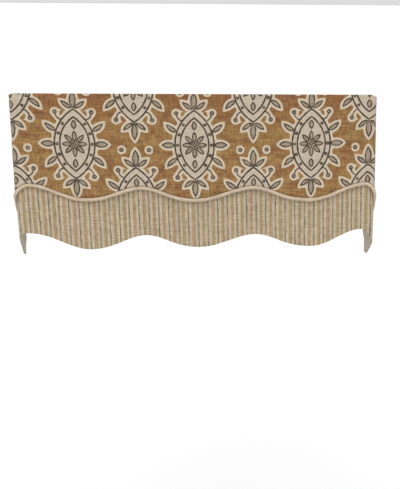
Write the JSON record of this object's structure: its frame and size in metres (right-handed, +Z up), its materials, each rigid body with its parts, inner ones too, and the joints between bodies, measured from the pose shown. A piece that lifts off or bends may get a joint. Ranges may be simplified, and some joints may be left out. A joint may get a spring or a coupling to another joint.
{
  "type": "window valance",
  "caption": "Lined window valance with two returns: a printed overlay with a welted, waved edge over a striped band with a waved hem.",
  "frame": {"origin": "middle of the top edge, where the valance is held", "axes": "+X to the right along the front, +Y back towards the wall, +Z up; the front faces -Y"},
  "size_m": [1.0619, 0.1329, 0.4901],
  "materials": {
    "printed_linen": "matt slubbed linen, golden brown, printed with cream half-drop medallions outlined in dark brown",
    "welt_twill": "cream twill over a cotton cord",
    "striped_linen": "matt slubbed linen with tan and cream stripes and thin grey-brown lines",
    "lining_sateen": "plain ecru cotton lining"
  },
  "bodies": {
    "root": {"overlay": "printed_linen", "welt": "welt_twill", "striped_band": "striped_linen", "lining": "lining_sateen"}
  },
  "joints": []
}
